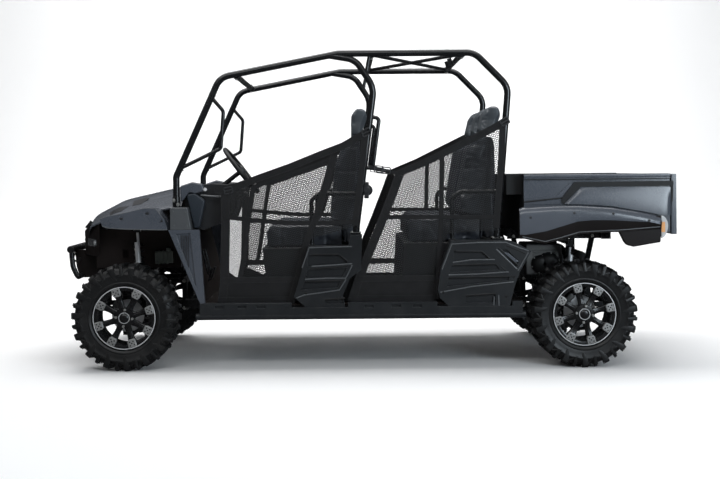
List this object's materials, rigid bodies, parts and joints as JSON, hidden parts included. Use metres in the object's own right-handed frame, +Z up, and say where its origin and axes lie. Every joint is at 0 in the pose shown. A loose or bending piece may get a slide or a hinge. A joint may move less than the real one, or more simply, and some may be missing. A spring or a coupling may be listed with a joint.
{
  "type": "crew side by side utility vehicle",
  "caption": "Crew side-by-side utility vehicle with roll cage, two bench rows, side nets, tilting cargo bed with tailgate, and lugged tyres on spoked rims.",
  "frame": {"origin": "on the ground under the middle of the whole vehicle's box", "axes": "-X points to the front, -Y to the driver's left side, +Z up"},
  "size_m": [3.904, 1.58, 1.986],
  "materials": {
    "frame_black": "satin black powder coat",
    "body_grey": "dark blue-grey moulded panels, satin gloss",
    "trim_black": "black grained plastic",
    "seat_vinyl": "dark grey-blue vinyl",
    "headrest_vinyl": "grey vinyl",
    "net_fabric": "black webbing and grey mesh",
    "tyre_rubber": "matt black rubber",
    "rim_black": "gloss black with machined lip and spoke ends",
    "bare_steel": "zinc-plated steel",
    "cast_metal": "grey castings",
    "lamp_clear": "clear moulded lamp lens",
    "lamp_amber": "clear and amber moulded lamp lens"
  },
  "bodies": {
    "chassis": {"axle_drives": "cast_metal", "cage_feet": "body_grey", "cage_left": "frame_black", "cage_right": "frame_black", "cage_roof_frame": "frame_black", "cowl_panels": "body_grey", "dashboard": "trim_black", "engine_block": "cast_metal", "firewall": "trim_black", "floor_pan": "trim_black", "frame_crossmembers": "frame_black", "frame_rails": "frame_black", "front_arms": "frame_black", "front_bumper": "frame_black", "front_fenders": "body_grey", "front_subframe": "frame_black", "headlamps": "lamp_clear", "headrests": "headrest_vinyl", "hip_bars": "frame_black", "nose_panel": "body_grey", "rear_arms": "frame_black", "rear_hitch": "frame_black", "rear_subframe": "frame_black", "seat_back_front": "seat_vinyl", "seat_back_rear": "seat_vinyl", "seat_bases": "trim_black", "seat_cushion_front": "seat_vinyl", "seat_cushion_rear": "seat_vinyl", "shock_absorbers": "bare_steel", "side_boxes": "body_grey", "side_nets_front": "net_fabric", "side_nets_rear": "net_fabric", "sills": "trim_black", "steering_column": "frame_black", "steering_rack": "cast_metal"},
    "cargo_bed": {"bed_box": "body_grey", "bed_fenders": "body_grey", "tail_lamps": "lamp_amber"},
    "tailgate": {"tailgate": "body_grey"},
    "hood": {"hood": "body_grey"},
    "knuckle_left": {"knuckle_left": "cast_metal"},
    "knuckle_right": {"knuckle_right": "cast_metal"},
    "steering_link": {"tie_rods": "bare_steel"},
    "steering_wheel": {"steering_wheel": "trim_black"},
    "wheel_front_left": {"tyre_front_left": "tyre_rubber", "rim_front_left": "rim_black"},
    "wheel_front_right": {"tyre_front_right": "tyre_rubber", "rim_front_right": "rim_black"},
    "wheel_rear_left": {"tyre_rear_left": "tyre_rubber", "rim_rear_left": "rim_black"},
    "wheel_rear_right": {"tyre_rear_right": "tyre_rubber", "rim_rear_right": "rim_black"}
  },
  "joints": [
    {"name": "steer_left", "type": "hinge", "parent": "chassis", "child": "knuckle_left", "pos_m": [-1.483, -0.61, 0.33], "axis": [0, 0, 1], "range_deg": [-28, 28]},
    {"name": "steer_right", "type": "hinge", "parent": "chassis", "child": "knuckle_right", "pos_m": [-1.483, 0.61, 0.33], "axis": [0, 0, 1], "range_deg": [-28, 28]},
    {"name": "rack_slide", "type": "slide", "parent": "chassis", "child": "steering_link", "axis": [0, 1, 0], "range_m": [-0.054, 0.054]},
    {"name": "steering_wheel_turn", "type": "hinge", "parent": "chassis", "child": "steering_wheel", "pos_m": [-0.79, -0.34, 1.235], "axis": [0.7923, 0, 0.6101], "range_deg": [-270, 270]},
    {"name": "spin_front_left", "type": "hinge", "parent": "knuckle_left", "child": "wheel_front_left", "pos_m": [-1.483, -0.675, 0.33], "axis": [0, 1, 0], "continuous": true},
    {"name": "spin_front_right", "type": "hinge", "parent": "knuckle_right", "child": "wheel_front_right", "pos_m": [-1.483, 0.675, 0.33], "axis": [0, 1, 0], "continuous": true},
    {"name": "spin_rear_left", "type": "hinge", "parent": "chassis", "child": "wheel_rear_left", "pos_m": [1.362, -0.65, 0.33], "axis": [0, 1, 0], "continuous": true},
    {"name": "spin_rear_right", "type": "hinge", "parent": "chassis", "child": "wheel_rear_right", "pos_m": [1.362, 0.65, 0.33], "axis": [0, 1, 0], "continuous": true},
    {"name": "hood_lift", "type": "hinge", "parent": "chassis", "child": "hood", "pos_m": [-1.166, 0, 1.116], "axis": [0, 1, 0], "range_deg": [0, 55]},
    {"name": "bed_tilt", "type": "hinge", "parent": "chassis", "child": "cargo_bed", "pos_m": [1.59, 0, 0.795], "axis": [0, 1, 0], "range_deg": [0, 45]},
    {"name": "tailgate_drop", "type": "hinge", "parent": "cargo_bed", "child": "tailgate", "pos_m": [1.944, 0, 0.83], "axis": [0, 1, 0], "range_deg": [0, 90]}
  ],
  "couplings": [
    {"joint": "steer_right", "follows": "steer_left", "ratio": 1},
    {"joint": "rack_slide", "follows": "steer_left", "m_per_rad": 0.11},
    {"joint": "steering_wheel_turn", "follows": "steer_left", "ratio": 9.6}
  ]
}
